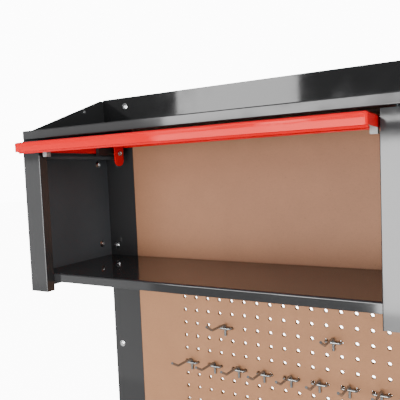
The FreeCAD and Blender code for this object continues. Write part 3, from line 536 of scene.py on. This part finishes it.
def lathed(profile, place, way, steps=40, cross=0.0):
    """A turned part: each profile point (radius, height) goes round the axis. The head points
    along way, and a cross recess lowers points near its two arms, least at their ends."""
    radius, height = np.array(profile, float).T
    angle = np.linspace(0, 2 * np.pi, steps + 1)
    first = radius[:, None] * np.cos(angle)
    second = radius[:, None] * np.sin(angle)
    rise = np.repeat(height[:, None], steps + 1, axis=1)
    if cross:
        arm = np.minimum(np.abs(first), np.abs(second))
        depth = np.clip(1.6 - arm / (0.22 * cross), 0, 1) * np.clip(
            2.2 * (1 - np.hypot(first, second) / cross), 0, 1)
        rise = rise - np.where(height[:, None] > height.max() * 0.4, depth * 0.5 * cross, 0)
    a, b, c, sign = WAYS[way]
    points = np.zeros(first.shape + (3,))
    points[..., a] = place[a] + first
    points[..., b] = place[b] + second
    points[..., c] = place[c] + sign * rise
    return grid(points)


def domed_head(wide, tall, start, rings=14):
    """A dome's profile: the height falls with the radius to the power of two and a half, to a
    little under half, and drops straight to a fifth at the rim."""
    radius = np.linspace(0, wide / 2, rings)
    height = start + tall * (1 - 0.55 * (2 * radius / wide) ** 2.5)
    return list(zip(radius, height)) + [(wide / 2, start + 0.2 * tall)]


SCREW = (domed_head(0.010, 0.0026, 0.0)
         + [(0.0052, 0.0012), (0.0061, 0.0011), (0.0065, 0.0008), (0.0065, 0.0), (0.003, 0.0),
            (0.003, -0.0075), (0.0025, -0.008), (0.0, -0.008)])
SCREW_CROSS = 0.0028
screws = []
for sign, inwards in ((-1, "+x"), (1, "-x")):
    for out, back, up, way in ((0.592, 0.265, 1.474, "-y"), (0.592, 0.265, 1.264, "-y"),
                               (0.553, 0.2638, 1.7562, "-y"), (0.6088, 0.237, 1.480, inwards),
                               (0.6088, 0.237, 1.6426, inwards)):
        screws.append(lathed(SCREW, (sign * out, back, up), way, cross=SCREW_CROSS))
piece("cross_head_screws", "bench", ZINC, together(*screws), ["frame_screws"])

BOLT_OUT = 0.2541
BOLT_CROSS = 0.0034
BOLT = (domed_head(0.011, 0.0045, 0.0)
        + [(0.0055, 0.0), (0.003, 0.0), (0.003, -0.0372), (0.0025, -0.0377), (0.0, -0.0377)])
for side in ("left", "right"):
    bolts = [lathed(BOLT, (DOOR_X[side] + sign * BOLT_OUT, PIN_Y[side], PIN_Z),
                    inwards, cross=BOLT_CROSS) for sign, inwards in ((-1, "+x"), (1, "-x"))]
    piece(side + "_cross_head_bolts", side + "_carriage", ZINC, together(*bolts),
          [side + "_door_pivot_bolts"])

STUD = 0.005
GROOVE = 0.0006
ridge = np.arange(0.0215, 0.0262, 0.0005)
THREAD = list(zip(STUD - GROOVE * (np.arange(len(ridge)) % 3 == 1), ridge))
FOOT = ([(0.0, 0.0), (0.0188, 0.0), (0.0196, 0.0004), (0.02, 0.0013), (0.02, 0.0046),
         (0.0197, 0.0056), (0.0188, 0.006), (0.0112, 0.0068), (0.0096, 0.0078), (0.009, 0.0092),
         (0.009, 0.0106), (0.0086, 0.011), (STUD, 0.011), (STUD, 0.0212)] + THREAD
        + [(0.0043, 0.027), (0.0, 0.027)])
feet = [lathed(FOOT, (sign * x, y, 0.0), "+z") for sign in (-1, 1)
        for x, y in ((0.585, -0.275), (0.575, 0.285))]
piece("turned_feet", "bench", ZINC, together(*feet), ["levelling_feet"])

# The worktop is a 25 mm board with a light wood face under a satin lacquer. All its edges are
# slightly rounded.


def wood_effect():
    """Long grain along X: stretched noise bands change its tone, with fine darker pores."""
    group, inlet, outlet = effect(
        "long_grain", [("Colour", "Color"), ("Roughness", "Float")],
        [("Colour", "Color"), ("Roughness", "Float"), ("Height", "Float")])
    place = add(group, "TexCoord").outputs["Object"]
    stretch = add(group, "Mapping")
    stretch.inputs["Scale"].default_value = (1.6, 34.0, 34.0)
    pores = add(group, "Mapping")
    pores.inputs["Scale"].default_value = (40.0, 900.0, 900.0)
    join(group, (place, stretch.inputs["Vector"]), (place, pores.inputs["Vector"]))
    bands = noise(group, stretch.outputs["Vector"], 1.0, 6.0, 0.62, 1.8)
    fine = noise(group, pores.outputs["Vector"], 1.0, 2.0, 0.6)
    tone = spread(group, bands, 0.25, 0.75, 0.78, 1.2)
    dark = spread(group, fine, 0.3, 0.6, 0.86, 1.04)
    join(group, (tinted(group, tinted(group, inlet.outputs["Colour"], tone), dark),
                 outlet.inputs["Colour"]),
         (inlet.outputs["Roughness"], outlet.inputs["Roughness"]),
         (fine, outlet.inputs["Height"]))
    return group


WORKTOP_BOARD = finish_of(
    "worktop_board", wood_effect(), {"Colour": (0.46, 0.28, 0.15, 1.0), "Roughness": 0.38},
    {"Coat Weight": 0.15, "Coat Roughness": 0.2}, 0.00003)


BOARD_EDGE = 0.004


def four_sided(low, high, top, bend, depth):
    """A pan whose four flanges are equally deep."""
    x0, y0, x1, y1 = low[0] + bend, low[1] + bend, high[0] - bend, high[1] - bend
    deep = (depth, depth)
    stops = (corner_stops(x1, y1, 0, deep) + corner_stops(x0, y1, 90, deep)
             + corner_stops(x0, y0, 180, deep) + corner_stops(x1, y0, 270, deep))
    return pan((x0, y0), (x1, y1), top, bend, stops)


def board_shape(low, high, bend):
    """A board with round edges: two pans, the lower one upside down, meeting at half height."""
    middle = (low[2] + high[2]) / 2
    upper, quads = four_sided(low, high, high[2], bend, high[2] - middle)
    lower = upper * (1, 1, -1) + (0, 0, 2 * middle)
    return together((upper, quads), (lower, quads[:, ::-1]))


piece("worktop_board", "bench", WORKTOP_BOARD,
      board_shape(*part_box("worktop"), BOARD_EDGE), ["worktop"])

# The front legs are angles of 2 mm sheet with a narrow return, and a channel joins them under
# the drawers. The lower shelf is a pan with its edges turned down.
LEG_SHEET = 0.002
LEG_RETURN = 0.015
LEG_SIDE = 0.05
LEG_BEND = 0.0035
for side in ("left", "right"):
    low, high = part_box(side + "_front_leg")
    half = LEG_SHEET / 2
    inner, outer = high[0] - half, low[0] + half
    if side == "right":
        inner, outer = low[0] + half, high[0] - half
    line = [(inner, low[1] + LEG_RETURN), (inner, low[1] + half), (outer, low[1] + half),
            (outer, low[1] + LEG_SIDE)]
    bench_piece(side + "_front_leg_folded",
                folded(line, LEG_SHEET, LEG_BEND, low[2], high[2], (0, 1, 2)),
                [side + "_front_leg"])
BEAM_SHEET = 0.0015
BEAM_BEND = 0.0028
low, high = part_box("front_beam")
front, bottom, top = low[1] + BEAM_SHEET / 2, low[2] + BEAM_SHEET / 2, high[2] - BEAM_SHEET / 2
channel = folded([(high[1], bottom), (front, bottom), (front, top), (high[1], top)],
                 BEAM_SHEET, BEAM_BEND, low[0], high[0], (1, 2, 0))
bench_piece("front_beam_folded", channel, ["front_beam"])
PAN_BEND = 0.003
low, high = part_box("lower_shelf")
piece("lower_shelf_pan", "bench", BLACK_PAINT,
      four_sided(low, high, high[2], PAN_BEND, high[2] - low[2]), ["lower_shelf"], thick=PANEL)

# A drawer front is a pan of the same red sheet, 15 mm deep, with the top edge folded down
# behind as a grip.
GRIP_DROP = 0.01
GRIP_BEND = 0.001
for side in ("left", "right"):
    low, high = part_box(side + "_drawer_front")
    flat, quads = four_sided((low[0], low[2]), (high[0], high[2]), -low[1], PAN_BEND,
                             high[1] - low[1])
    stood = np.stack([flat[:, 0], -flat[:, 2], flat[:, 1]], axis=1)
    piece(side + "_drawer_pan", side + "_drawer", RED_PAINT, (stood, quads),
          [side + "_drawer_front"], thick=PANEL)
    back = high[1] - HALF_SHEET
    lip = folded([(back, high[2] - GRIP_DROP), (back, high[2] - PANEL)], PANEL, GRIP_BEND,
                 low[0] + PANEL, high[0] - PANEL, (1, 2, 0))
    piece(side + "_drawer_grip", side + "_drawer", RED_PAINT, lip, [])

# The bench stands on a pale studio floor before a white ground. Large soft lights hang where
# the paint shows their reflections: tall ones and a dim wall behind the camera, strips above
# them with two short ones in the gap. Broad ones overhead and on the right show in no gloss.


def flat_light(name, centre, aim, wide, tall, glow):
    """A soft light that faces a point. Its power is its glow times pi times its area."""
    lamp = bpy.data.lights.new(name, "AREA")
    lamp.shape = "RECTANGLE"
    lamp.size = wide
    lamp.size_y = tall
    lamp.energy = glow * np.pi * wide * tall
    item = bpy.data.objects.new(name, lamp)
    item.location = centre
    away = np.array(centre) - np.array(aim)
    yaw = np.arctan2(away[0], -away[1])
    tilt = np.arctan2(np.hypot(away[0], away[1]), away[2])
    item.rotation_euler = Euler((tilt, 0.0, yaw))
    bpy.context.scene.collection.objects.link(item)


LIGHT_PLANE = -2.0
for name, left, right, low, high, glow in (
        ("over_light_left", -1.88, -0.98, 1.99, 2.30, 13.0),
        ("upper_light_left", -1.72, -0.98, 1.91, 1.99, 14.0),
        ("upper_light_right", -0.98, 0.28, 1.91, 1.99, 13.0),
        ("upper_wall", -5.90, -1.72, 1.91, 2.01, 1.0),
        ("door_light_left", -1.76, -1.32, 1.80, 1.90, 6.0),
        ("door_light_right", -1.03, -0.74, 1.79, 1.90, 22.0),
        ("tall_light_left", -1.72, -0.98, 1.20, 1.75, 14.0),
        ("tall_light_middle", -0.98, -0.45, 1.00, 1.75, 19.0),
        ("tall_light_right", -0.45, 0.28, 0.84, 1.75, 19.0),
        ("low_light_right", -0.44, 0.28, 0.57, 0.84, 8.0),
        ("pale_wall", -5.90, -1.90, 0.80, 1.75, 1.3),
        ("low_wall", -5.90, -1.90, 0.00, 0.80, 0.85)):
    across, up = (left + right) / 2, (low + high) / 2
    flat_light(name, (across, LIGHT_PLANE, up), (across, 0.0, up), right - left, high - low,
               glow)
flat_light("side_light", (3.0, -1.6, 1.9), (0.0, 0.0, 1.4), 1.6, 1.6, 14.0)
bpy.data.objects["side_light"].visible_glossy = False
flat_light("ceiling_light", (0.0, -0.6, 4.0), (0.0, -0.59, 0.0), 4.0, 4.0, 0.6)
bpy.data.objects["ceiling_light"].visible_glossy = False

world = bpy.data.worlds.new("studio")
world.use_nodes = True
bpy.context.scene.world = world
SEEN_WHITE = 12.0
SEEN_FLOOR = 11.0
GLOW_ALL_ROUND = 0.3
ground = world.node_tree.nodes["Background"]
ground.inputs["Color"].default_value = (1.0, 1.0, 1.0, 1.0)
seen = add(world.node_tree, "LightPath").outputs["Is Camera Ray"]
join(world.node_tree, (spread(world.node_tree, seen, 0.0, 1.0, GLOW_ALL_ROUND, SEEN_WHITE),
                       ground.inputs["Strength"]))

FLOOR = bpy.data.materials.new("studio_floor")
FLOOR.use_nodes = True
pale = FLOOR.node_tree.nodes["Principled BSDF"]
pale.inputs["Base Color"].default_value = (0.85, 0.85, 0.85, 1.0)
pale.inputs["Roughness"].default_value = 0.8
pale.inputs["Emission Color"].default_value = (1.0, 1.0, 1.0, 1.0)
seen = add(FLOOR.node_tree, "LightPath").outputs["Is Camera Ray"]
join(FLOOR.node_tree, (spread(FLOOR.node_tree, seen, 0.0, 1.0, 0.0, SEEN_FLOOR),
                       pale.inputs["Emission Strength"]))
floor_mesh = bpy.data.meshes.new("studio_floor")
floor_mesh.from_pydata([(-30, -30, 0), (30, -30, 0), (30, 30, 0), (-30, 30, 0)], [],
                       [(0, 1, 2, 3)])
floor_mesh.materials.append(FLOOR)
floor = bpy.data.objects.new("studio_floor", floor_mesh)
bpy.context.scene.collection.objects.link(floor)

# The camera stands a little right of the middle of the bench, as high as the cabinet's open bay,
# and looks to the left and slightly down.
lens = bpy.data.cameras.new("camera")
lens.sensor_width = 36.0
lens.lens = 45.758
lens.shift_x = -0.01925
lens.shift_y = 0.01761
camera = bpy.data.objects.new("camera", lens)
camera.location = (0.09756, -0.55621, 1.61911)
camera.rotation_euler = Euler(np.radians((86.0086, 2.3250, 29.5698)))
bpy.context.scene.collection.objects.link(camera)
bpy.context.scene.camera = camera
